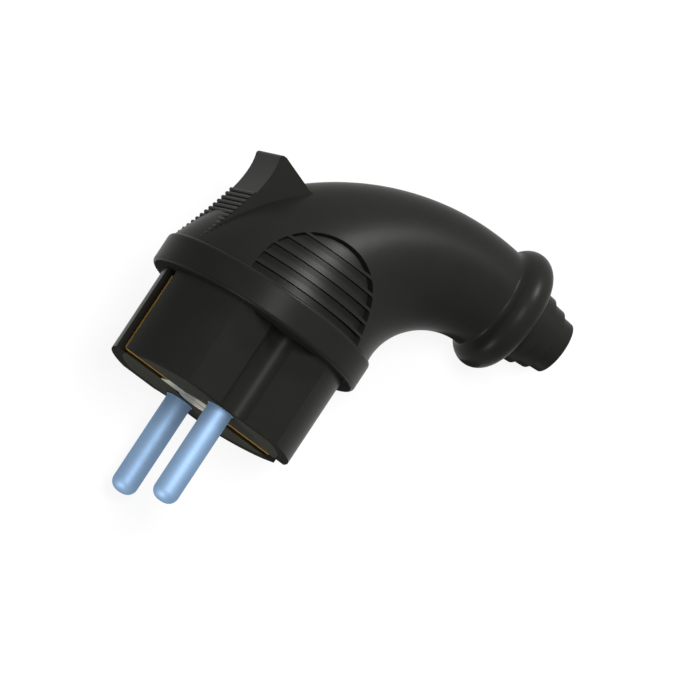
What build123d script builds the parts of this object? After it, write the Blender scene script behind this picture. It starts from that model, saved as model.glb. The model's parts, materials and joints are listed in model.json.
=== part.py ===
"""Angled two-pin earthed plug in rubber, for wiring to a round cable.

While a piece is drawn, X is the way the cable leaves, Y runs back from the contact
face and the two pins stand beside each other in Z. The finished pieces are then laid
down together, in the pose in which the plug comes to rest on a table.
"""
import os
from math import cos, pi, radians, sin, sqrt, tan

from build123d import *

# Pins
pin_diameter = 4.8
pin_length = 19.0
pin_spacing = 19.0
pin_tip_round = 1.9
pin_root_diameter = 5.2
pin_web = 8.0
pin_head_side = 7.0
wire_hole_diameter = 3.2
wire_hole_depth = 6.5

# Barrel that enters the socket
barrel_diameter = 36.5
barrel_length = 16.6
across_flats = 30.6
barrel_wall = 2.1
guide_groove_width = 5.8
guide_groove_depth = 1.3
earth_slot_width = 4.4

# Flange
flange_overhang = 2.45
flange_thickness = 5.7
flange_edge_round = 0.7

# Elbow
elbow_setback = 0.6
neck_diameter = 18.7
exit_height = 45.2
exit_reach = 34.0
back_lean = 5.2
back_rise = 14.1
back_run = 32.2
back_lift = 2.6
side_tuck = 0.11
section_count = 3
base_wall = 5.0
neck_wall = 2.6
neck_shoulder = 0.9

# Bead round the neck
bead_diameter = 23.2
bead_thickness = 6.4

# Cable grommet with its stepped nozzle
nozzle_diameters = (14.0, 12.3, 10.5)
nozzle_lengths = (3.2, 2.7, 2.7)
nozzle_taper = 0.25
cable_bore = 8.2
shank_length = 10.0
grommet_rib_height = 0.8
grommet_rib_width = 2.0

# Thumb tab
tab_width = 11.0
tab_height = 20.7
tab_setback = 1.4
tab_belly = 16.6
tab_belly_level = 7.0
tab_waist = 12.9
tab_waist_level = 16.0
tab_tip = 15.3
tab_tip_land = 1.4
tab_tip_round = 0.6
tab_back_reach = 7.0
tab_back_drop = 2.2
rib_pitch = 1.0
rib_radius = 0.36
rib_count = 13
rib_start = 1.6

# Side grips
grip_radius = 12.6
grip_height = 2.6
grip_depth = 1.4
grip_slope = 35.0
grip_level = 16.0
fin_pitch = 2.35
fin_thickness = 0.55
fin_start = 1.5
fin_count = 5

# Fits between pieces
seat_gap = 0.1
thread_gap = 0.05
cavity_gap = 0.3

# Contact carrier
rim_diameter = 34.8
rim_thickness = 2.0
rim_setback = 0.8

# Earth strap
strap_width = 4.0
strap_thickness = 0.8
strap_eye_diameter = 9.6
strap_leg_length = 15.6
strap_setback = 1.45
strap_bend = 0.7

# Centre screw and what it holds
centre_screw_diameter = 4.0
centre_screw_head = 7.0
centre_screw_length = 13.6
tab_washer_diameter = 8.6
tab_washer_thickness = 0.5
tab_washer_tongue = 8.0
lock_washer_diameter = 7.4
lock_washer_thickness = 0.6
lock_washer_teeth = 10
lock_washer_tooth = 0.5
earth_block_depth = 10.0
earth_block_side = 8.0
earth_block_length = 8.0
earth_block_chamfer = 0.5
clamp_plate_thickness = 0.8
earth_screw_head = 7.0
earth_screw_head_height = 2.2
earth_screw_length = 4.4

# Set screws of the pins
set_screw_diameter = 3.0
set_screw_length = 2.6

# Screw heads
slot_width = 0.7
slot_depth = 0.9
head_round_share = 0.33
countersink_angle = 45.0

# Rear cover
cover_thickness = 2.4
cover_screw_diameter = 2.9
cover_screw_head = 5.2
cover_screw_head_height = 1.8
cover_screw_length = 7.0
cover_screw_spacing = 20.0

# Cable clamp on the rear cover
clamp_width = 16.6
clamp_length = 6.0
clamp_stand_off = 2.2
clamp_gap = 2.0
clamp_base_thickness = 6.2
clamp_saddle_thickness = 5.0
clamp_screw_spacing = 12.0
clamp_screw_diameter = 2.5
clamp_screw_head = 4.4
clamp_screw_head_height = 1.6
clamp_washer_diameter = 5.0
clamp_washer_thickness = 0.5
clamp_nut_side = 4.6
clamp_nut_thickness = 1.8

# How the plug lies on a table: the cable end leans down, and so do the pins
rest_lean = 22.2
rest_dip = 9.05

# Values worked out from the sizes above
barrel_radius = barrel_diameter / 2
flat_height = across_flats / 2
groove_radius = (guide_groove_width**2 / 4 + guide_groove_depth**2) / (2 * guide_groove_depth)
groove_centre = flat_height - guide_groove_depth + groove_radius
flange_radius = barrel_radius + flange_overhang
elbow_base_radius = flange_radius - elbow_setback
tab_foot = flange_radius - tab_setback
flange_top = barrel_length + flange_thickness
neck_radius = neck_diameter / 2
neck_bore = neck_radius - neck_wall
bead_tube = bead_thickness / 2
bead_ring = bead_diameter / 2 - bead_tube
bead_x = exit_reach + sqrt(bead_tube**2 - (neck_radius - bead_ring) ** 2)
bead_end = bead_x + bead_tube
exit_axis = Axis((0, exit_height, 0), (1, 0, 0))
rim_seat = barrel_length + rim_setback
carrier_back = rim_seat + rim_thickness
cavity_radius = elbow_base_radius - base_wall
pin_head_length = carrier_back - pin_web
pin_places = {"live": pin_spacing / 2, "neutral": -pin_spacing / 2}
head_centre = pin_web + pin_head_length / 2
strap_face = tab_washer_thickness
sink_depth = (centre_screw_head - centre_screw_diameter) / 2
strap_back = strap_face + strap_thickness
strap_span = 2 * (barrel_radius - strap_setback)
strap_inside = strap_span / 2 - strap_thickness
cover_top = carrier_back + cover_thickness
clamp_start = cover_top + clamp_stand_off
clamp_middle = clamp_start + clamp_length / 2
clamp_back = -clamp_gap / 2 - clamp_base_thickness
clamp_front = clamp_gap / 2 + clamp_saddle_thickness

STANDING = (Align.CENTER, Align.CENTER, Align.MIN)
HANGING = (Align.CENTER, Align.CENTER, Align.MAX)


def level(depth):
    """A sketch plane square to the pins, so far behind the contact face."""
    return Plane(origin=(0, depth, 0), x_dir=(1, 0, 0), z_dir=(0, 1, 0))


def barrel_outline(inset):
    """Round outline with two flats, so far inside the barrel's skin."""
    with BuildSketch() as outline:
        Circle(barrel_radius - inset)
        Rectangle(barrel_diameter, across_flats - 2 * inset, mode=Mode.INTERSECT)
    return outline.sketch


def elbow_solid(base_inset, neck_inset):
    """The bend from flange to neck, through ovals that join its throat to its back."""
    base = elbow_base_radius - base_inset
    neck = neck_radius - neck_inset
    rise = exit_height - flange_top
    back_line = Bezier(
        (-base, flange_top),
        (-base + back_lean, flange_top + back_rise),
        (exit_reach - back_run, exit_height + neck + back_lift),
        (exit_reach, exit_height + neck),
    )
    with BuildPart() as elbow:
        for step in range(section_count + 1):
            turn = step / section_count
            angle = turn * pi / 2
            throat = Vector(
                exit_reach - (exit_reach - base) * cos(angle),
                flange_top + (rise - neck) * sin(angle),
            )
            back = back_line @ turn
            across = throat - back
            half_depth = across.length / 2
            section = Plane(
                origin=(throat + back) * 0.5,
                x_dir=across,
                z_dir=(-across.Y, across.X, 0),
            )
            with BuildSketch(section):
                Ellipse(half_depth, half_depth * (1 - side_tuck * sin(pi * turn)))
        loft()
    return elbow.part


def ring_profile(start, end, radius):
    """Half section of a plain length of the exit, from one X to another."""
    with BuildSketch() as profile:
        with Locations((start, exit_height)):
            Rectangle(end - start, radius, align=Align.MIN)
    return profile.sketch


def turned_screw(plane, diameter, length, head, head_height):
    """Pan-head screw with a slot, its seat on the plane and its shank going in."""
    with BuildPart(plane) as screw:
        Cylinder(diameter / 2, length, align=HANGING)
        Cylinder(head / 2, head_height, align=STANDING)
        rims = screw.edges().filter_by(GeomType.CIRCLE)
        fillet(rims.sort_by(plane_axis(plane))[-1], head_height * head_round_share)
        with Locations((0, 0, head_height)):
            Box(head, slot_width, slot_depth, align=HANGING, mode=Mode.SUBTRACT)
    return screw.part


def plane_axis(plane):
    """The line through a plane's origin along its normal."""
    return Axis(plane.origin, plane.z_dir)


# Thumb tab, as an outline in the middle plane
tab_top = flange_top + tab_height
with BuildPart() as tab:
    with BuildSketch():
        with BuildLine():
            outer = Bezier(
                (-tab_foot, flange_top - flange_edge_round),
                (-tab_belly, flange_top + tab_belly_level),
                (-tab_waist, flange_top + tab_waist_level),
                (-tab_tip, tab_top),
            )
            Polyline(
                outer @ 1,
                (-tab_tip + tab_tip_land, tab_top),
                (-tab_back_reach, tab_top - tab_back_drop),
                (0, tab_top - tab_back_drop),
                (0, flange_top - flange_edge_round),
                outer @ 0,
            )
        make_face()
    extrude(amount=tab_width / 2, both=True)
    fillet(
        tab.edges().filter_by(Axis.Z).group_by(Axis.Y)[-1],
        tab_tip_round,
    )
    for rib in range(rib_count):
        place = outer @ ((rib_start + rib * rib_pitch) / outer.length)
        with BuildSketch(Plane.XY):
            with Locations((place.X, place.Y)):
                Circle(rib_radius)
        extrude(amount=tab_width / 2, both=True)

# Recesses of the side grips, with their fins left standing
grip_spread = tan(radians(grip_slope))
grip_block = 4 * flange_radius
with BuildPart() as grip_recess:
    for side in (1, -1):
        grip_plane = Plane(
            origin=(0, flange_top + grip_height, 0),
            x_dir=(1, 0, 0),
            z_dir=(0, 0, side),
        )
        with Locations(grip_plane):
            Cone(
                grip_radius - grip_level * grip_spread,
                grip_radius + (flange_radius - grip_level) * grip_spread,
                flange_radius,
                align=STANDING,
            )
    with BuildSketch(level(flange_top)):
        Rectangle(grip_block, grip_block)
    extrude(amount=-grip_block, mode=Mode.SUBTRACT)
    add(elbow_solid(grip_depth, grip_depth), mode=Mode.SUBTRACT)
    for fin in range(fin_count):
        with BuildSketch(level(flange_top + fin_start + fin * fin_pitch)):
            Rectangle(grip_block, grip_block)
        extrude(amount=fin_thickness, mode=Mode.SUBTRACT)

with BuildPart() as housing:
    with BuildSketch(level(0)):
        add(barrel_outline(0))
    extrude(amount=barrel_length)
    with BuildSketch(level(barrel_length)):
        Circle(flange_radius)
    extrude(amount=flange_thickness)
    flange_rims = housing.edges().filter_by(GeomType.CIRCLE).group_by(SortBy.RADIUS)[-1]
    fillet(flange_rims, flange_edge_round)
    add(elbow_solid(0, 0))
    add(tab.part)
    with BuildSketch(Plane.XY):
        add(ring_profile(exit_reach, bead_end, bead_ring))
        with Locations((bead_x, exit_height + bead_ring)):
            Circle(bead_tube)
        with Locations((bead_x, exit_height)):
            Rectangle(
                2 * bead_diameter,
                2 * bead_diameter,
                align=(Align.CENTER, Align.MIN),
                mode=Mode.INTERSECT,
            )
    revolve(axis=exit_axis)
    add(grip_recess.part, mode=Mode.SUBTRACT)

    # Room for the contact carrier, the groove for its rim and the wiring space
    with BuildSketch(level(0)):
        add(barrel_outline(barrel_wall))
    extrude(amount=rim_seat, mode=Mode.SUBTRACT)
    with BuildSketch(level(rim_seat)):
        Circle(rim_diameter / 2 + seat_gap)
    extrude(amount=rim_thickness, mode=Mode.SUBTRACT)
    with BuildSketch(level(carrier_back)):
        Circle(cavity_radius)
    extrude(amount=flange_top - carrier_back, mode=Mode.SUBTRACT)
    add(elbow_solid(base_wall, neck_wall + neck_shoulder), mode=Mode.SUBTRACT)

    # Bore of the neck, with the groove that keeps the grommet
    with BuildSketch(Plane.XY):
        add(ring_profile(bead_end - shank_length, bead_end, neck_bore))
        add(ring_profile(
            bead_x - grommet_rib_width / 2 - seat_gap,
            bead_x + grommet_rib_width / 2 + seat_gap,
            neck_bore + grommet_rib_height,
        ))
    revolve(axis=exit_axis, mode=Mode.SUBTRACT)

    # Earth slots through the barrel and guide grooves in its flats
    with BuildSketch(level(0)):
        with Locations((barrel_radius, 0), (-barrel_radius, 0)):
            Rectangle(2 * (barrel_radius - strap_inside), earth_slot_width)
        with Locations((0, groove_centre), (0, -groove_centre)):
            Circle(groove_radius)
    extrude(amount=barrel_length, mode=Mode.SUBTRACT)

with BuildPart() as cable_grommet:
    with BuildSketch(Plane.XY):
        add(ring_profile(bead_end - shank_length, bead_end, neck_bore - seat_gap))
        add(ring_profile(
            bead_x - grommet_rib_width / 2,
            bead_x + grommet_rib_width / 2,
            neck_bore + grommet_rib_height - seat_gap,
        ))
        step_start = bead_end
        for step_diameter, step_length in zip(nozzle_diameters, nozzle_lengths):
            with BuildLine():
                Polyline(
                    (step_start, exit_height),
                    (step_start, exit_height + step_diameter / 2),
                    (step_start + step_length, exit_height + step_diameter / 2 - nozzle_taper),
                    (step_start + step_length, exit_height),
                    close=True,
                )
            make_face()
            step_start += step_length
        add(ring_profile(bead_end - shank_length, step_start, cable_bore / 2), mode=Mode.SUBTRACT)
    revolve(axis=exit_axis)

with BuildPart() as contact_carrier:
    with BuildSketch(level(0)):
        add(barrel_outline(barrel_wall + seat_gap))
    extrude(amount=rim_seat)
    with BuildSketch(level(rim_seat)):
        Circle(rim_diameter / 2)
    extrude(amount=rim_thickness)

    # Channel of the earth strap over the face, its seats down both sides and its eye
    with BuildSketch(level(0)):
        Rectangle(barrel_diameter, strap_width + 2 * seat_gap)
        Circle(strap_eye_diameter / 2 + seat_gap)
    extrude(amount=strap_back, mode=Mode.SUBTRACT)
    with BuildSketch(level(0)):
        with Locations((strap_inside, 0)):
            Rectangle(rim_diameter, strap_width + 2 * seat_gap, align=(Align.MIN, Align.CENTER))
        with Locations((-strap_inside, 0)):
            Rectangle(rim_diameter, strap_width + 2 * seat_gap, align=(Align.MAX, Align.CENTER))
    extrude(amount=strap_leg_length + seat_gap, mode=Mode.SUBTRACT)

    # Pin holes, with a chamber behind each for the pin's head
    with BuildSketch(level(0)):
        with Locations((0, pin_spacing / 2), (0, -pin_spacing / 2)):
            Circle(pin_root_diameter / 2 + thread_gap)
        Circle(centre_screw_diameter / 2 + seat_gap)
    extrude(amount=carrier_back, mode=Mode.SUBTRACT)
    with BuildSketch(level(0)):
        Circle(centre_screw_head / 2 + seat_gap)
    extrude(amount=sink_depth, taper=countersink_angle, mode=Mode.SUBTRACT)
    with BuildSketch(level(pin_web)):
        for side in (1, -1):
            with Locations((0, side * (pin_spacing / 2 - pin_head_side / 2 - seat_gap))):
                Rectangle(
                    pin_head_side + 2 * seat_gap,
                    pin_head_side + 2 * seat_gap,
                    align=(Align.CENTER, Align.MIN if side > 0 else Align.MAX),
                )
    extrude(amount=carrier_back - pin_web, mode=Mode.SUBTRACT)

    # Chamber of the earth terminal
    with BuildSketch(level(earth_block_depth - lock_washer_thickness)):
        Rectangle(earth_block_side + 2 * seat_gap, earth_block_side + 2 * seat_gap)
    extrude(amount=carrier_back - earth_block_depth + lock_washer_thickness, mode=Mode.SUBTRACT)

    # Pilot holes for the screws of the rear cover
    with BuildSketch(level(carrier_back)):
        with Locations((cover_screw_spacing / 2, 0), (-cover_screw_spacing / 2, 0)):
            Circle(cover_screw_diameter / 2 + thread_gap)
    extrude(amount=-cover_screw_length, mode=Mode.SUBTRACT)

pins = {}
terminal_screws = {}
for line, place in pin_places.items():
    outward = 1 if place > 0 else -1
    with BuildPart() as pin:
        with BuildSketch(level(-pin_length)):
            with Locations((0, -place)):
                Circle(pin_diameter / 2)
        extrude(amount=pin_length)
        fillet(pin.faces().sort_by(Axis.Y)[0].edges(), pin_tip_round)
        with BuildSketch(level(0)):
            with Locations((0, -place)):
                Circle(pin_root_diameter / 2)
        extrude(amount=pin_web)
        with BuildSketch(level(pin_web)):
            with Locations((0, -place)):
                Rectangle(pin_head_side, pin_head_side)
        extrude(amount=pin_head_length)
        with BuildSketch(level(pin_web + pin_head_length)):
            with Locations((0, -place)):
                Circle(wire_hole_diameter / 2)
        extrude(amount=-wire_hole_depth, mode=Mode.SUBTRACT)
        screw_plane = Plane(
            origin=(0, head_centre, place + outward * pin_head_side / 2),
            x_dir=(1, 0, 0),
            z_dir=(0, 0, outward),
        )
        with BuildSketch(screw_plane):
            Circle(set_screw_diameter / 2 + thread_gap)
        extrude(amount=-pin_head_side / 2, mode=Mode.SUBTRACT)
    pins[line] = pin
    with BuildPart(screw_plane) as screw:
        Cylinder(set_screw_diameter / 2, set_screw_length, align=HANGING)
        Box(set_screw_diameter, slot_width, slot_depth, align=HANGING, mode=Mode.SUBTRACT)
    terminal_screws[line] = screw

with BuildPart() as earth_strap:
    with BuildSketch(Plane.XY):
        with Locations((0, strap_face)):
            Rectangle(strap_span, strap_leg_length - strap_face, align=(Align.CENTER, Align.MIN))
        with Locations((0, strap_back)):
            Rectangle(
                2 * strap_inside,
                strap_leg_length,
                align=(Align.CENTER, Align.MIN),
                mode=Mode.SUBTRACT,
            )
    extrude(amount=strap_width / 2, both=True)
    fillet(
        earth_strap.edges().filter_by(Axis.Z).group_by(Axis.Y)[0],
        strap_bend,
    )
    with BuildSketch(level(strap_face)):
        Circle(strap_eye_diameter / 2)
    extrude(amount=strap_thickness)
    with BuildSketch(level(0)):
        Circle(centre_screw_head / 2 + seat_gap)
    extrude(amount=sink_depth, taper=countersink_angle, mode=Mode.SUBTRACT)
    with BuildSketch(level(0)):
        Circle(centre_screw_diameter / 2 + seat_gap)
    extrude(amount=strap_back, mode=Mode.SUBTRACT)

with BuildPart() as tab_washer:
    with BuildSketch(level(0)):
        Circle(tab_washer_diameter / 2)
        Rectangle(tab_washer_tongue, strap_width, align=(Align.MAX, Align.CENTER))
    extrude(amount=tab_washer_thickness)
    with BuildSketch(level(0)):
        Circle(centre_screw_head / 2 + seat_gap)
    extrude(amount=tab_washer_thickness, taper=countersink_angle, mode=Mode.SUBTRACT)

with BuildPart() as centre_screw:
    with BuildSketch(level(0)):
        Circle(centre_screw_diameter / 2)
    extrude(amount=centre_screw_length)
    with BuildSketch(level(0)):
        Circle(centre_screw_head / 2)
    extrude(amount=sink_depth, taper=countersink_angle)
    with BuildSketch(level(0)):
        Rectangle(centre_screw_head, slot_width)
    extrude(amount=slot_depth, mode=Mode.SUBTRACT)

with BuildPart() as lock_washer:
    with BuildSketch(level(earth_block_depth - lock_washer_thickness)):
        Circle(lock_washer_diameter / 2 - lock_washer_tooth)
        with PolarLocations(lock_washer_diameter / 2 - lock_washer_tooth, lock_washer_teeth):
            Rectangle(2 * lock_washer_tooth, 2 * lock_washer_tooth)
        Circle(centre_screw_diameter / 2 + seat_gap, mode=Mode.SUBTRACT)
    extrude(amount=lock_washer_thickness)

earth_block_back = earth_block_depth + earth_block_length
with BuildPart() as earth_terminal:
    with BuildSketch(level(earth_block_depth)):
        Rectangle(earth_block_side, earth_block_side)
        Circle(centre_screw_diameter / 2 + thread_gap, mode=Mode.SUBTRACT)
    extrude(amount=earth_block_length)
    chamfer(earth_terminal.edges().filter_by(Axis.Y), earth_block_chamfer)

clamp_plate_back = earth_block_back + clamp_plate_thickness
with BuildPart() as earth_clamp_plate:
    with BuildSketch(level(earth_block_back)):
        Rectangle(earth_block_side - 2 * seat_gap, earth_block_side - 2 * seat_gap)
        Circle(centre_screw_diameter / 2 + seat_gap, mode=Mode.SUBTRACT)
    extrude(amount=clamp_plate_thickness)

with BuildPart() as earth_terminal_screw:
    add(turned_screw(
        level(clamp_plate_back),
        centre_screw_diameter,
        earth_screw_length,
        earth_screw_head,
        earth_screw_head_height,
    ))

with BuildPart() as rear_cover:
    with BuildSketch(level(carrier_back)):
        Circle(cavity_radius - cavity_gap)
        with Locations((0, pin_spacing / 2), (0, -pin_spacing / 2)):
            Circle(wire_hole_diameter / 2 + cavity_gap, mode=Mode.SUBTRACT)
        Circle(earth_screw_head / 2 + 2 * cavity_gap, mode=Mode.SUBTRACT)
        with Locations((cover_screw_spacing / 2, 0), (-cover_screw_spacing / 2, 0)):
            Circle(cover_screw_diameter / 2 + seat_gap, mode=Mode.SUBTRACT)
    extrude(amount=cover_thickness)
    with BuildSketch(level(cover_top)):
        with Locations((clamp_back, 0)):
            Rectangle(clamp_base_thickness, clamp_width, align=(Align.MIN, Align.CENTER))
    extrude(amount=clamp_stand_off + clamp_length)
    with BuildSketch(level(cover_top)):
        Circle(cable_bore / 2)
        with Locations((-cover_screw_spacing / 2, 0)):
            Circle(cover_screw_head / 2 + seat_gap)
    extrude(amount=clamp_stand_off + clamp_length, mode=Mode.SUBTRACT)
    clamp_side = Plane(origin=(clamp_back, clamp_middle, 0), x_dir=(0, 1, 0), z_dir=(-1, 0, 0))
    with BuildSketch(clamp_side):
        with Locations((0, clamp_screw_spacing / 2), (0, -clamp_screw_spacing / 2)):
            Circle(clamp_screw_diameter / 2 + seat_gap)
    extrude(amount=-clamp_base_thickness, mode=Mode.SUBTRACT)
    with BuildSketch(clamp_side):
        with Locations((0, clamp_screw_spacing / 2), (0, -clamp_screw_spacing / 2)):
            Rectangle(clamp_nut_side + 2 * seat_gap, clamp_nut_side + 2 * seat_gap)
    extrude(amount=-clamp_nut_thickness, mode=Mode.SUBTRACT)

with BuildPart() as cover_screws:
    for place in (1, -1):
        add(turned_screw(
            Plane(
                origin=(place * cover_screw_spacing / 2, cover_top, 0),
                x_dir=(1, 0, 0),
                z_dir=(0, 1, 0),
            ),
            cover_screw_diameter,
            cover_screw_length,
            cover_screw_head,
            cover_screw_head_height,
        ))

with BuildPart() as clamp_saddle:
    with BuildSketch(level(clamp_start)):
        with Locations((clamp_gap / 2, 0)):
            Rectangle(clamp_saddle_thickness, clamp_width, align=(Align.MIN, Align.CENTER))
        Circle(cable_bore / 2, mode=Mode.SUBTRACT)
    extrude(amount=clamp_length)
    saddle_side = Plane(origin=(clamp_front, clamp_middle, 0), x_dir=(0, 1, 0), z_dir=(1, 0, 0))
    with BuildSketch(saddle_side):
        with Locations((0, clamp_screw_spacing / 2), (0, -clamp_screw_spacing / 2)):
            Circle(clamp_screw_diameter / 2 + seat_gap)
    extrude(amount=-clamp_saddle_thickness, mode=Mode.SUBTRACT)

clamp_screw_seat = clamp_front + clamp_washer_thickness
with BuildPart() as clamp_screws:
    for place in (1, -1):
        add(turned_screw(
            Plane(
                origin=(clamp_screw_seat, clamp_middle, place * clamp_screw_spacing / 2),
                x_dir=(0, 1, 0),
                z_dir=(1, 0, 0),
            ),
            clamp_screw_diameter,
            clamp_screw_seat - clamp_back,
            clamp_screw_head,
            clamp_screw_head_height,
        ))

with BuildPart() as clamp_washers:
    with BuildSketch(saddle_side):
        with Locations((0, clamp_screw_spacing / 2), (0, -clamp_screw_spacing / 2)):
            Circle(clamp_washer_diameter / 2)
            Circle(clamp_screw_diameter / 2 + seat_gap, mode=Mode.SUBTRACT)
    extrude(amount=clamp_washer_thickness)

with BuildPart() as clamp_nuts:
    with BuildSketch(clamp_side):
        with Locations((0, clamp_screw_spacing / 2), (0, -clamp_screw_spacing / 2)):
            Rectangle(clamp_nut_side, clamp_nut_side)
            Circle(clamp_screw_diameter / 2 + thread_gap, mode=Mode.SUBTRACT)
    extrude(amount=-clamp_nut_thickness)

resting = Rotation(rest_dip, 0, 0) * Rotation(0, rest_lean, 0)
pieces = {
    "housing": housing,
    "cable_grommet": cable_grommet,
    "contact_carrier": contact_carrier,
    "rear_cover": rear_cover,
    "pin_live": pins["live"],
    "pin_neutral": pins["neutral"],
    "terminal_screw_live": terminal_screws["live"],
    "terminal_screw_neutral": terminal_screws["neutral"],
    "earth_strap": earth_strap,
    "tab_washer": tab_washer,
    "centre_screw": centre_screw,
    "lock_washer": lock_washer,
    "earth_terminal": earth_terminal,
    "earth_clamp_plate": earth_clamp_plate,
    "earth_terminal_screw": earth_terminal_screw,
    "cover_screws": cover_screws,
    "clamp_saddle": clamp_saddle,
    "clamp_screws": clamp_screws,
    "clamp_washers": clamp_washers,
    "clamp_nuts": clamp_nuts,
}
os.makedirs("parts", exist_ok=True)
for name, piece in pieces.items():
    piece.part.locate(resting)
    piece.part.label = name
    export_step(piece.part, f"parts/{name}.step")
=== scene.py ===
"""Angled rubber mains plug, dressed for a still picture on a pale floor."""
import json
import math

import bmesh
import bpy
from bpy.props import FloatProperty, FloatVectorProperty, PointerProperty
from mathutils import Matrix, Vector


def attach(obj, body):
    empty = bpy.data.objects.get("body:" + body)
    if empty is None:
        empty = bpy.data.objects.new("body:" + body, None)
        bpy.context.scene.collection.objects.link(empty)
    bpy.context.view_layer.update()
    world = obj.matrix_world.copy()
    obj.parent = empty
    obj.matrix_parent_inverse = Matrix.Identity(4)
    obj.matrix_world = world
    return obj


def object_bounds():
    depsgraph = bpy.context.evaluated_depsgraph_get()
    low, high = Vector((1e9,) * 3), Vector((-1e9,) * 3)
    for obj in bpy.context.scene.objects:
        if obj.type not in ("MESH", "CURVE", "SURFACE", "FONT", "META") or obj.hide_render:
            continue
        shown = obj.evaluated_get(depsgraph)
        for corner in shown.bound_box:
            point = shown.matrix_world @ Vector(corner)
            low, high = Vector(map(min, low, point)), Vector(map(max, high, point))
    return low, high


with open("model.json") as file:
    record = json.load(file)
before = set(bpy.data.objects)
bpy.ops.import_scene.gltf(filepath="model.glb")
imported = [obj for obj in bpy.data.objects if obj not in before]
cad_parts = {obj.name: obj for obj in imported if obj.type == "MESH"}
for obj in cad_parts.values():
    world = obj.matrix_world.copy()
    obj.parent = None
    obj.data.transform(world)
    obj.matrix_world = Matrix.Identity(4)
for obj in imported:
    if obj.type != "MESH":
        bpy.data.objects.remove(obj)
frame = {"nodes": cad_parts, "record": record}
cad_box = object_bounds()

bl_info = {
    "name": "Angled Mains Plug",
    "version": (1, 0, 0),
    "blender": (4, 5, 0),
    "location": "View3D > Sidebar > Plug",
    "description": "Dresses the pieces of an angled rubber mains plug",
    "category": "Object",
}

MM = 0.001

# A noise texture stays mostly between these two values
NOISE_LOW, NOISE_HIGH = 0.25, 0.75

# Spacing of a tool's lines, as a share of how far a line runs before it fades
LINE_SHARE = 0.06

# Cosine to the pins' direction at which the rubber starts to be coarse, and is wholly so
COARSE_STARTS, COARSE_WHOLLY = 0.85, 0.97

# Sides of the round floor and of a ring, and steps in the hollow of the neck's rounding
FLOOR_SIDES = 96
RING_SIDES = 128
HOLLOW_STEPS = 12

# The floor is this share of a plain white where it is seen, so that its shadow still shows
WHITE_SHARE = 0.9

# Strength of the world where it only lights the plug
WORLD_LIGHT = 0.12

# The photograph's view: the picture's right side and the way to the camera, both in the
# frame, and the point in the middle of the picture
VIEW_RIGHT = Vector((0.8362, 0.52837, 0.14699))
VIEW_TOWARD = Vector((0.02292, -0.30145, 0.95321))
LOOK_AT = Vector((16.31, 23.51, -0.58)) * MM

# Each lamp: its place from the plug's middle in metres to the picture's right, upwards and
# towards the camera, its width in metres, its watts, and whether it lights the rubber only
UPPER_RIGHT = (0.385, 0.32, 0.23)
LAMPS = (
    ("key_lamp", (0.12, 0.08, 0.53), 0.20, 2.6, False),
    ("ridge_lamp", UPPER_RIGHT, 0.15, 1.8, False),
    ("bead_lamp", (-0.42, -0.32, 0.28), 0.12, 2.2, False),
    ("recess_lamp", UPPER_RIGHT, 0.15, 4.4, True),
)


def colour(hex_code):
    """Linear RGBA from an sRGB hex code."""
    channels = [int(hex_code[i:i + 2], 16) / 255 for i in (1, 3, 5)]
    return tuple(
        c / 12.92 if c <= 0.04045 else ((c + 0.055) / 1.055) ** 2.4 for c in channels
    ) + (1.0,)


def mount(name):
    """One of the record's mounts: its place, its direction and its sizes."""
    found = next(m for m in frame["record"]["mounts"] if m["name"] == name)
    return Vector(found["pos_m"]), Vector(found["axis"]).normalized(), found["dims"]


# Out of the contact face along the pins, from pin to pin, and out of the cable's nozzle
PIN_WAY = mount("pin_pair")[1]
PIN_LINE = (mount("pin_live_free_end")[0] - mount("pin_neutral_free_end")[0]).normalized()
CABLE_MIDDLE, CABLE_WAY, CABLE_BORE = mount("cable_entry")
CABLE_END = CABLE_MIDDLE + CABLE_WAY * CABLE_BORE["length_mm"] * MM / 2


def tinted(default, name, description):
    """Colour setting with its own default."""
    return FloatVectorProperty(
        name=name,
        description=description,
        subtype="COLOR",
        size=4,
        min=0.0,
        max=1.0,
        default=colour(default),
    )


def length(default, name, description):
    """Length setting with its own default."""
    return FloatProperty(
        name=name,
        description=description,
        default=default,
        min=0.00001,
        max=5.0,
        precision=5,
        unit="LENGTH",
    )


class PlugColours(bpy.types.PropertyGroup):
    """Colours of the plug and of what it stands on"""

    rubber: tinted("#161614", "Rubber", "Black rubber of the shell and the nozzle")
    insert: tinted("#25251f", "Insert", "Moulded insert that carries the pins")
    cover: tinted("#26251f", "Cover", "Plastic of the rear cover and the cable clamp")
    pin_plate: tinted("#7c95b0", "Pin plating", "Cool plating of the two pins")
    pin_edge: tinted("#c9d8e6", "Pin edge", "The pins' plating at a glancing angle")
    strap: tinted("#b08a42", "Strap", "Rolled brass of the earth strap")
    terminal: tinted("#b8964e", "Terminal", "Turned brass of the earth terminal")
    zinc: tinted("#aba79d", "Zinc", "Zinc plating of screws, nuts and washers")
    zinc_edge: tinted("#dedbd2", "Zinc edge", "The zinc plating at a glancing angle")
    floor: tinted("#ffffff", "Floor", "Floor and backdrop")


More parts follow.
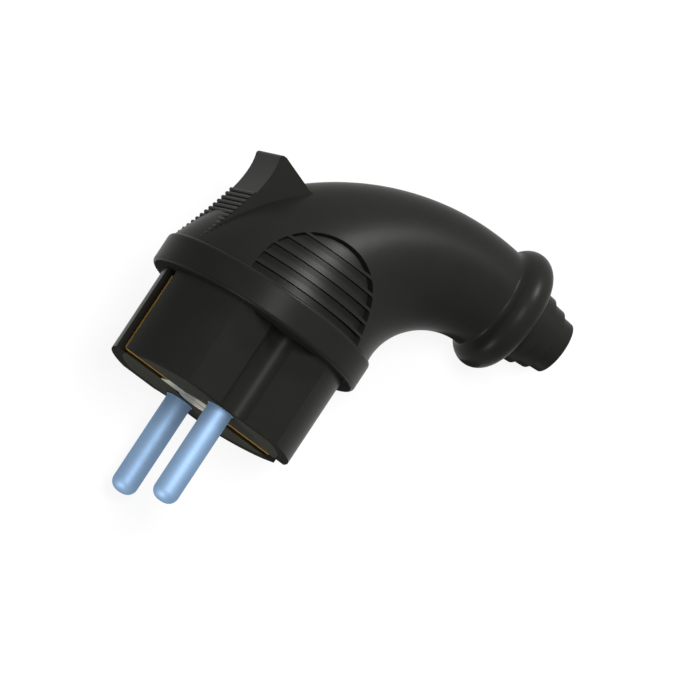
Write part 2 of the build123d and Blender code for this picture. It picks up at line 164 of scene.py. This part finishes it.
class PlugSizes(bpy.types.PropertyGroup):
    """Sizes of the surface patterns, of the neck's rounding and of the picture"""

    spark_pit: length(0.4 * MM, "Spark pit", "Width of a pit in the rubber's skin")
    handled_patch: length(11 * MM, "Handled patch", "Width of a patch smoothed by hands")
    rubber_cloud: length(7 * MM, "Rubber cloud", "Width of a darker or paler rubber cloud")
    filler_grain: length(0.6 * MM, "Filler grain", "Width of a grain in the thermoset")
    filler_cloud: length(2.5 * MM, "Filler cloud", "Width of a flow cloud of filler")
    skin_depth: length(0.02 * MM, "Skin depth", "Depth of the pits and of the grain")
    rolling_line: length(0.25 * MM, "Rolling line", "Spacing of the strap's rolling lines")
    turning_line: length(0.18 * MM, "Turning line", "Spacing of the lathe's turning lines")
    neck_radius: length(9.35 * MM, "Neck radius", "Radius of the neck at its bead")
    neck_round: length(1.2 * MM, "Neck rounding", "Rounding between neck and bead")
    bead_ring: length(8.4 * MM, "Bead ring", "Radius of the bead's middle line")
    bead_tube: length(3.2 * MM, "Bead tube", "Radius of the bead's own section")
    bead_back: length(11.8 * MM, "Bead place", "From the nozzle's end back to the bead")
    floor_radius: length(2.0, "Floor radius", "Radius of the round floor")
    view_width: length(121.1 * MM, "View width", "Width of what the camera sees")
    camera_distance: length(0.6, "Camera distance", "Distance from plug to camera")


def node(tree, kind, inputs=None, **settings):
    """Adds one node, with its settings, values and links."""
    made = tree.nodes.new(kind)
    for key, value in settings.items():
        setattr(made, key, value)
    for socket, value in (inputs or {}).items():
        target = made.inputs[socket]
        if isinstance(value, bpy.types.NodeSocket):
            tree.links.new(value, target)
        else:
            target.default_value = value
    return made


def empty_tree(owner):
    """Node tree of a new material or world, without its usual nodes."""
    owner.use_nodes = True
    owner.node_tree.nodes.clear()
    return owner.node_tree


def shade(rgba, share):
    """The same colour at a share of its brightness."""
    return tuple(min(1.0, c * share) for c in rgba[:3]) + (1.0,)


def mottled(tree, place, rgba, patch, swing):
    """Colour that drifts between two shares of its brightness, over patches of one size."""
    drift = node(tree, "ShaderNodeTexNoise", {
        "Vector": place, "Scale": 1 / patch, "Detail": 4.0, "Roughness": 0.6})
    darker, paler = swing
    return node(tree, "ShaderNodeMix", {
        "Factor": drift.outputs["Fac"], "A": shade(rgba, darker), "B": shade(rgba, paler),
    }, data_type="RGBA").outputs["Result"]


def tool_lines(tree, place, way, spacing, depth):
    """Fine lines square to a direction, as a tool leaves them: their noise and its relief."""
    turn = way.to_track_quat("X", "Z").inverted().to_euler()
    laid = node(tree, "ShaderNodeMapping", {"Vector": place, "Rotation": turn})
    stretched = node(tree, "ShaderNodeMapping", {
        "Vector": laid.outputs["Vector"],
        "Scale": (1 / spacing, LINE_SHARE / spacing, LINE_SHARE / spacing)})
    lines = node(tree, "ShaderNodeTexNoise", {
        "Vector": stretched.outputs["Vector"], "Scale": 1.0, "Detail": 2.0})
    relief = node(tree, "ShaderNodeBump", {
        "Height": lines.outputs["Fac"], "Strength": 1.0, "Distance": depth})
    return lines.outputs["Fac"], relief.outputs["Normal"]


def moulded_rubber(colours, sizes):
    # Vulcanised rubber from a spark-eroded mould: a deep, faintly olive black with a broad
    # soft sheen, a skin of fine pits, drawn coarser than real so that they show, and patches
    # that hands have left a little smoother. The faces square to the pins, such as the rim,
    # are coarse and dull.
    made = bpy.data.materials.new("moulded_rubber")
    tree = empty_tree(made)
    places = node(tree, "ShaderNodeTexCoord").outputs
    pits = node(tree, "ShaderNodeTexNoise", {
        "Vector": places["Object"], "Scale": 1 / sizes.spark_pit,
        "Detail": 3.0, "Roughness": 0.6})
    relief = node(tree, "ShaderNodeBump", {
        "Height": pits.outputs["Fac"], "Strength": 0.35, "Distance": sizes.skin_depth})
    handled = node(tree, "ShaderNodeTexNoise", {
        "Vector": places["Object"], "Scale": 1 / sizes.handled_patch, "Detail": 3.0})
    sheen = node(tree, "ShaderNodeMapRange", {
        "Value": handled.outputs["Fac"], "From Min": NOISE_LOW, "From Max": NOISE_HIGH,
        "To Min": 0.33, "To Max": 0.37})
    square = node(tree, "ShaderNodeVectorMath", {0: places["Normal"], 1: PIN_WAY},
                  operation="DOT_PRODUCT").outputs["Value"]
    coarse = node(tree, "ShaderNodeMapRange", {
        "Value": square, "From Min": COARSE_STARTS, "From Max": COARSE_WHOLLY,
        "To Min": 0.0, "To Max": 0.85})
    rough = node(tree, "ShaderNodeMath", {
        0: sheen.outputs["Result"], 1: coarse.outputs["Result"]}, operation="MAXIMUM")
    dull = node(tree, "ShaderNodeMapRange", {
        "Value": square, "From Min": COARSE_STARTS, "From Max": COARSE_WHOLLY,
        "To Min": 0.036, "To Max": 0.01})
    skin = node(tree, "ShaderNodeBsdfPrincipled", {
        "Base Color": mottled(
            tree, places["Object"], colours.rubber, sizes.rubber_cloud, (0.85, 1.15)),
        "Roughness": rough.outputs["Value"],
        "IOR": 1.52,
        "Specular IOR Level": dull.outputs["Result"],
        "Normal": relief.outputs["Normal"]})
    node(tree, "ShaderNodeOutputMaterial", {"Surface": skin.outputs["BSDF"]})
    return made


def pressed_thermoset(name, rgba, sizes):
    # Thermoset pressed in a polished mould: an even, matte, slightly warm grey with flow
    # clouds of filler just under the skin.
    made = bpy.data.materials.new(name)
    tree = empty_tree(made)
    place = node(tree, "ShaderNodeTexCoord").outputs["Object"]
    filler = node(tree, "ShaderNodeTexNoise", {
        "Vector": place, "Scale": 1 / sizes.filler_grain, "Detail": 5.0, "Roughness": 0.65})
    relief = node(tree, "ShaderNodeBump", {
        "Height": filler.outputs["Fac"], "Strength": 0.25, "Distance": sizes.skin_depth})
    matte = node(tree, "ShaderNodeMapRange", {
        "Value": filler.outputs["Fac"], "From Min": NOISE_LOW, "From Max": NOISE_HIGH,
        "To Min": 0.78, "To Max": 0.88})
    skin = node(tree, "ShaderNodeBsdfPrincipled", {
        "Base Color": mottled(tree, place, rgba, sizes.filler_cloud, (0.88, 1.12)),
        "Roughness": matte.outputs["Result"],
        "IOR": 1.55,
        "Specular IOR Level": 0.02,
        "Normal": relief.outputs["Normal"]})
    node(tree, "ShaderNodeOutputMaterial", {"Surface": skin.outputs["BSDF"]})
    return made


def metal(name, rgba, edge, way, spacing, depth, rough, patch):
    """Metal with tool lines square to a direction. Edge is its colour at a glancing angle."""
    made = bpy.data.materials.new(name)
    tree = empty_tree(made)
    place = node(tree, "ShaderNodeTexCoord").outputs["Object"]
    lines, relief = tool_lines(tree, place, way, spacing, depth)
    smoothest, roughest = rough
    satin = node(tree, "ShaderNodeMapRange", {
        "Value": lines, "From Min": NOISE_LOW, "From Max": NOISE_HIGH,
        "To Min": smoothest, "To Max": roughest})
    skin = node(tree, "ShaderNodeBsdfPrincipled", {
        "Base Color": mottled(tree, place, rgba, patch, (0.92, 1.06)),
        "Metallic": 1.0,
        "Specular Tint": edge,
        "Roughness": satin.outputs["Result"],
        "Normal": relief})
    node(tree, "ShaderNodeOutputMaterial", {"Surface": skin.outputs["BSDF"]})
    return made


def plated_pin(colours, sizes):
    # Turned brass under satin nickel: a cool, even silver-blue without a mirror image. Its
    # turning lines are drawn coarser than real, and soften the highlight lengthways.
    return metal(
        "nickel_plated_brass", colours.pin_plate, colours.pin_edge, PIN_WAY,
        spacing=sizes.turning_line, depth=0.001 * MM, rough=(0.60, 0.66), patch=5 * MM)


def rolled_brass(colours, sizes):
    # Spring brass rolled to strip: warm gold, satin, with rolling lines along the strip,
    # drawn coarser than real so that they show.
    return metal(
        "rolled_brass", colours.strap, colours.strap, PIN_LINE,
        spacing=sizes.rolling_line, depth=0.006 * MM, rough=(0.5, 0.6), patch=3 * MM)


def turned_brass(colours, sizes):
    # Free-cutting brass straight from the lathe: paler gold, brighter than the strap, with
    # turning lines drawn coarser than real.
    return metal(
        "turned_brass", colours.terminal, colours.terminal, PIN_WAY,
        spacing=sizes.turning_line, depth=0.004 * MM, rough=(0.28, 0.4), patch=3 * MM)


def zinc_plated_steel(colours, sizes):
    # Pressed or headed steel, barrel plated in zinc: soft warm grey, cloudy and half matte,
    # with its tool lines drawn coarser than real.
    return metal(
        "zinc_plated_steel", colours.zinc, colours.zinc_edge, PIN_WAY,
        spacing=sizes.turning_line, depth=0.005 * MM, rough=(0.36, 0.52), patch=1.5 * MM)


def dress(material, slot, *names):
    """Gives CAD nodes a material. The slot argument is not used."""
    for name in names:
        piece = frame["nodes"][name]
        piece.data.materials.clear()
        piece.data.materials.append(material)


def rubber_pieces():
    """Collection of the rubber pieces, for the lamp that lights nothing else."""
    found = bpy.data.collections.get("rubber_pieces")
    return found or bpy.data.collections.new("rubber_pieces")


def turned_ring(name, profile):
    """Smooth ring about the cable's axis. The profile gives (back from the nozzle, radius)."""
    shape = bmesh.new()
    side = CABLE_WAY.cross(PIN_LINE).normalized()
    rows = []
    for step in range(RING_SIDES):
        angle = 2 * math.pi * step / RING_SIDES
        out = PIN_LINE * math.cos(angle) + side * math.sin(angle)
        rows.append([
            shape.verts.new(CABLE_END - CABLE_WAY * back + out * radius)
            for back, radius in profile])
    for row, following in zip(rows, rows[1:] + rows[:1]):
        for k in range(len(profile)):
            after = (k + 1) % len(profile)
            shape.faces.new((row[k], row[after], following[after], following[k]))
    bmesh.ops.recalc_face_normals(shape, faces=shape.faces)
    for face in shape.faces:
        face.smooth = True
    mesh = bpy.data.meshes.new(name)
    shape.to_mesh(mesh)
    shape.free()
    return bpy.data.objects.new(name, mesh)


def neck_rounding(sizes):
    """Hollow rounding between neck and bead, as a circle rolled into their corner."""
    reach = sizes.neck_round + sizes.bead_tube
    rise = sizes.neck_radius + sizes.neck_round - sizes.bead_ring
    middle = sizes.bead_back + math.sqrt(reach ** 2 - rise ** 2)
    sweep = math.pi / 2 - math.asin(rise / reach)
    profile = []
    for step in range(HOLLOW_STEPS + 1):
        angle = -math.pi / 2 - sweep * step / HOLLOW_STEPS
        profile.append((
            middle + sizes.neck_round * math.cos(angle),
            sizes.neck_radius + sizes.neck_round * (1 + math.sin(angle))))
    # The ring closes under the rubber's skin
    buried = sizes.neck_radius - sizes.neck_round / 2
    profile += [(sizes.bead_back, buried), (middle, buried)]
    return turned_ring("neck_rounding", profile)


def background_rays(tree):
    """One for the camera's, reflected and transmitted rays, which see a white background."""
    rays = node(tree, "ShaderNodeLightPath").outputs
    seen = node(tree, "ShaderNodeMath", {
        0: rays["Is Camera Ray"], 1: rays["Is Glossy Ray"]}, operation="MAXIMUM")
    return node(tree, "ShaderNodeMath", {
        0: seen.outputs["Value"], 1: rays["Is Transmission Ray"],
    }, operation="MAXIMUM").outputs["Value"]


def studio_paper(colours):
    # Smooth white paper: a matte sheet that takes the plug's shadow, and is nearly plain
    # white where it is seen.
    made = bpy.data.materials.new("studio_paper")
    tree = empty_tree(made)
    matte = node(tree, "ShaderNodeBsdfDiffuse", {"Color": colours.floor})
    plain = node(tree, "ShaderNodeEmission", {"Color": colours.floor, "Strength": 1.0})
    share = node(tree, "ShaderNodeMath", {
        0: background_rays(tree), 1: WHITE_SHARE}, operation="MULTIPLY")
    sheet = node(tree, "ShaderNodeMixShader", {
        0: share.outputs["Value"], 1: matte.outputs["BSDF"], 2: plain.outputs["Emission"]})
    node(tree, "ShaderNodeOutputMaterial", {"Surface": sheet.outputs["Shader"]})
    return made


def lay_floor(context, place):
    """Round floor under the plug."""
    shape = bmesh.new()
    bmesh.ops.create_circle(
        shape, cap_ends=True, segments=FLOOR_SIDES,
        radius=context.scene.plug_sizes.floor_radius)
    mesh = bpy.data.meshes.new("studio_floor")
    shape.to_mesh(mesh)
    shape.free()
    mesh.materials.append(studio_paper(context.scene.plug_colours))
    floor = bpy.data.objects.new("studio_floor", mesh)
    floor.location = place
    context.collection.objects.link(floor)


def light_world(context):
    """World that lights the plug faintly, and is plain white where it is seen."""
    world = bpy.data.worlds.new("studio_world")
    context.scene.world = world
    tree = empty_tree(world)
    strength = node(tree, "ShaderNodeMapRange", {
        "Value": background_rays(tree), "To Min": WORLD_LIGHT, "To Max": 1.0})
    sky = node(tree, "ShaderNodeBackground", {
        "Color": (1.0, 1.0, 1.0, 1.0), "Strength": strength.outputs["Result"]})
    node(tree, "ShaderNodeOutputWorld", {"Surface": sky.outputs["Background"]})


def picture_axes():
    """The picture's right, its up and the way to the camera, square to each other."""
    right = (VIEW_RIGHT - VIEW_TOWARD * VIEW_RIGHT.dot(VIEW_TOWARD)).normalized()
    toward = VIEW_TOWARD.normalized()
    return right, toward.cross(right), toward


def aim_camera(context):
    """Camera at the photograph's angle, without perspective."""
    sizes = context.scene.plug_sizes
    axes = picture_axes()
    camera = bpy.data.objects.new("camera", bpy.data.cameras.new("camera"))
    camera.data.type = "ORTHO"
    camera.data.ortho_scale = sizes.view_width
    place = LOOK_AT + axes[2] * sizes.camera_distance
    camera.matrix_world = Matrix.Translation(place) @ Matrix(axes).transposed().to_4x4()
    context.collection.objects.link(camera)
    context.scene.camera = camera


def hang_lamps(context, middle):
    """Studio lamps, each turned to the plug's middle."""
    right, up, toward = picture_axes()
    # Only the insert shades the lamp for the rubber, so that it reaches between the fins
    shading = bpy.data.collections.new("insert_piece")
    shading.objects.link(frame["nodes"]["contact_carrier"])
    for name, (across, above, ahead), width, watts, rubber_only in LAMPS:
        offset = right * across + up * above + toward * ahead
        lamp = bpy.data.objects.new(name, bpy.data.lights.new(name, "AREA"))
        lamp.data.shape = "DISK"
        lamp.data.size = width
        lamp.data.energy = watts
        if rubber_only:
            lamp.light_linking.receiver_collection = rubber_pieces()
            lamp.light_linking.blocker_collection = shading
        lamp.location = middle + offset
        lamp.rotation_euler = (-offset).to_track_quat("-Z", "Y").to_euler()
        context.collection.objects.link(lamp)


class PLUG_OT_stage(bpy.types.Operator):
    """Floor, studio light and the camera at the photograph's angle"""

    bl_idname = "plug.stage"
    bl_label = "Stage"

    def execute(self, context):
        low, high = cad_box
        middle = (low + high) / 2
        lay_floor(context, (middle.x, middle.y, low.z))
        light_world(context)
        aim_camera(context)
        hang_lamps(context, middle)
        context.scene.view_settings.view_transform = "Standard"
        return {"FINISHED"}


class PLUG_OT_shell(bpy.types.Operator):
    """Rubber shell, the cable nozzle and the rounding where the neck meets its bead"""

    bl_idname = "plug.shell"
    bl_label = "Shell and nozzle"

    def execute(self, context):
        sizes = context.scene.plug_sizes
        rubber = moulded_rubber(context.scene.plug_colours, sizes)
        rounding = neck_rounding(sizes)
        rounding.data.materials.append(rubber)
        context.collection.objects.link(rounding)
        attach(rounding, "root")
        dress(rubber, "rubber_shell", "housing")
        dress(rubber, "rubber_grommet", "cable_grommet")
        for piece in (frame["nodes"]["housing"], frame["nodes"]["cable_grommet"], rounding):
            rubber_pieces().objects.link(piece)
        return {"FINISHED"}


class PLUG_OT_insert(bpy.types.Operator):
    """Moulded insert, its rear cover and the clamp saddle"""

    bl_idname = "plug.insert"
    bl_label = "Insert and cover"

    def execute(self, context):
        colours, sizes = context.scene.plug_colours, context.scene.plug_sizes
        dress(pressed_thermoset("pressed_thermoset", colours.insert, sizes),
              "carrier_plastic", "contact_carrier")
        dress(pressed_thermoset("pressed_thermoset_dark", colours.cover, sizes),
              "cover_plastic", "rear_cover", "clamp_saddle")
        return {"FINISHED"}


class PLUG_OT_pins(bpy.types.Operator):
    """The two plated pins"""

    bl_idname = "plug.pins"
    bl_label = "Pins"

    def execute(self, context):
        plated = plated_pin(context.scene.plug_colours, context.scene.plug_sizes)
        dress(plated, "nickel_plate", "pin_live", "pin_neutral")
        return {"FINISHED"}


class PLUG_OT_earth(bpy.types.Operator):
    """Earth strap and earth terminal"""

    bl_idname = "plug.earth"
    bl_label = "Earth strap and terminal"

    def execute(self, context):
        colours, sizes = context.scene.plug_colours, context.scene.plug_sizes
        dress(rolled_brass(colours, sizes), "strap_brass", "earth_strap")
        dress(turned_brass(colours, sizes), "terminal_brass", "earth_terminal")
        return {"FINISHED"}


class PLUG_OT_fasteners(bpy.types.Operator):
    """Screws, nuts, washers and the earth clamp plate"""

    bl_idname = "plug.fasteners"
    bl_label = "Fasteners"

    def execute(self, context):
        zinc = zinc_plated_steel(context.scene.plug_colours, context.scene.plug_sizes)
        dress(
            zinc, "zinc_steel", "tab_washer", "centre_screw", "lock_washer",
            "earth_clamp_plate", "earth_terminal_screw", "cover_screws",
            "terminal_screw_live", "terminal_screw_neutral",
            "clamp_screws", "clamp_washers", "clamp_nuts")
        return {"FINISHED"}


class PLUG_PT_sidebar(bpy.types.Panel):
    """Buttons for each group of pieces, with their sizes and colours"""

    bl_idname = "PLUG_PT_sidebar"
    bl_label = "Angled Mains Plug"
    bl_space_type = "VIEW_3D"
    bl_region_type = "UI"
    bl_category = "Plug"

    def draw(self, context):
        for group in (context.scene.plug_colours, context.scene.plug_sizes):
            box = self.layout.box()
            for key in group.__annotations__:
                box.prop(group, key)
        for operator in OPERATORS:
            self.layout.operator(operator.bl_idname)


OPERATORS = (
    PLUG_OT_stage,
    PLUG_OT_shell,
    PLUG_OT_insert,
    PLUG_OT_pins,
    PLUG_OT_earth,
    PLUG_OT_fasteners,
)
CLASSES = (PlugColours, PlugSizes, *OPERATORS, PLUG_PT_sidebar)


def register():
    """Adds the classes and the two groups of settings."""
    for cls in CLASSES:
        bpy.utils.register_class(cls)
    bpy.types.Scene.plug_colours = PointerProperty(type=PlugColours)
    bpy.types.Scene.plug_sizes = PointerProperty(type=PlugSizes)


def unregister():
    """Takes the settings and the classes away again."""
    del bpy.types.Scene.plug_sizes
    del bpy.types.Scene.plug_colours
    for cls in reversed(CLASSES):
        bpy.utils.unregister_class(cls)


def main():
    """Makes every piece."""
    register()
    bpy.ops.plug.stage()
    bpy.ops.plug.shell()
    bpy.ops.plug.insert()
    bpy.ops.plug.pins()
    bpy.ops.plug.earth()
    bpy.ops.plug.fasteners()


if __name__ == "__main__":
    main()
